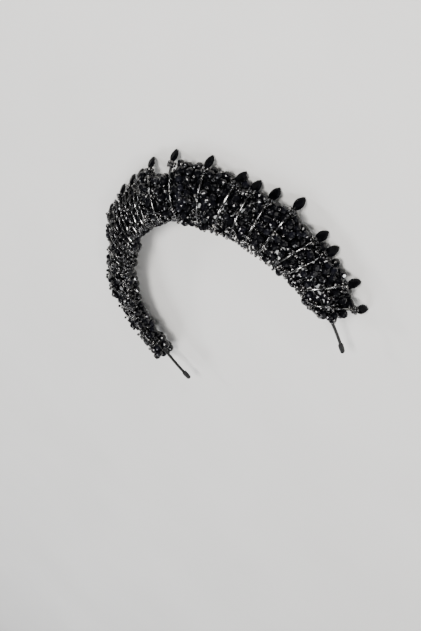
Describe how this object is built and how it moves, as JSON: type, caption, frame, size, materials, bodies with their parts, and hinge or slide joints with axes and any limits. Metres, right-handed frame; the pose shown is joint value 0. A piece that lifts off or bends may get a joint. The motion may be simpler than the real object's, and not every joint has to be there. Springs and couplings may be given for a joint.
{
  "type": "beaded bridal headband crown",
  "caption": "Bridal crown of jet crystal sprays and beaded leaf sprigs wired along a thin black arched headband with soft end caps.",
  "frame": {"origin": "on the table under the middle of the crown's box, with the crown lying on its back", "axes": "+X is the wearer's left, +Y runs from the legs to the top of the arch, +Z is the wearer's front and up at rest"},
  "size_m": [0.1816, 0.1344, 0.0216],
  "materials": {
    "black_band": "satin black",
    "soft_cap": "matt dark grey",
    "gunmetal_beads": "dark gunmetal lustre",
    "black_crystal": "opaque jet black, cut and polished"
  },
  "bodies": {
    "root": {"headband": "black_band", "end_cap_left": "soft_cap", "end_cap_right": "soft_cap", "leaf_sprig_01": "gunmetal_beads", "leaf_sprig_02": "gunmetal_beads", "leaf_sprig_03": "gunmetal_beads", "leaf_sprig_04": "gunmetal_beads", "leaf_sprig_05": "gunmetal_beads", "leaf_sprig_06": "gunmetal_beads", "leaf_sprig_07": "gunmetal_beads", "leaf_sprig_08": "gunmetal_beads", "leaf_sprig_09": "gunmetal_beads", "leaf_sprig_10": "gunmetal_beads", "leaf_sprig_11": "gunmetal_beads", "leaf_sprig_12": "gunmetal_beads", "leaf_sprig_13": "gunmetal_beads", "leaf_sprig_14": "gunmetal_beads", "leaf_sprig_15": "gunmetal_beads", "leaf_sprig_16": "gunmetal_beads", "leaf_sprig_17": "gunmetal_beads", "leaf_sprig_18": "gunmetal_beads", "leaf_sprig_19": "gunmetal_beads", "leaf_sprig_20": "gunmetal_beads", "leaf_sprig_21": "gunmetal_beads", "leaf_sprig_22": "gunmetal_beads", "leaf_sprig_23": "gunmetal_beads", "crystal_spray_01": "black_crystal", "crystal_spray_02": "black_crystal", "crystal_spray_03": "black_crystal", "crystal_spray_04": "black_crystal", "crystal_spray_05": "black_crystal", "crystal_spray_06": "black_crystal", "crystal_spray_07": "black_crystal", "crystal_spray_08": "black_crystal", "crystal_spray_09": "black_crystal", "crystal_spray_10": "black_crystal", "crystal_spray_11": "black_crystal", "crystal_spray_12": "black_crystal", "crystal_spray_13": "black_crystal", "crystal_spray_14": "black_crystal", "crystal_spray_15": "black_crystal", "crystal_spray_16": "black_crystal", "crystal_spray_17": "black_crystal", "crystal_spray_18": "black_crystal", "crystal_spray_19": "black_crystal", "crystal_spray_20": "black_crystal", "crystal_spray_21": "black_crystal", "crystal_spray_22": "black_crystal", "crystal_spray_23": "black_crystal", "crystal_spray_24": "black_crystal"}
  },
  "joints": []
}
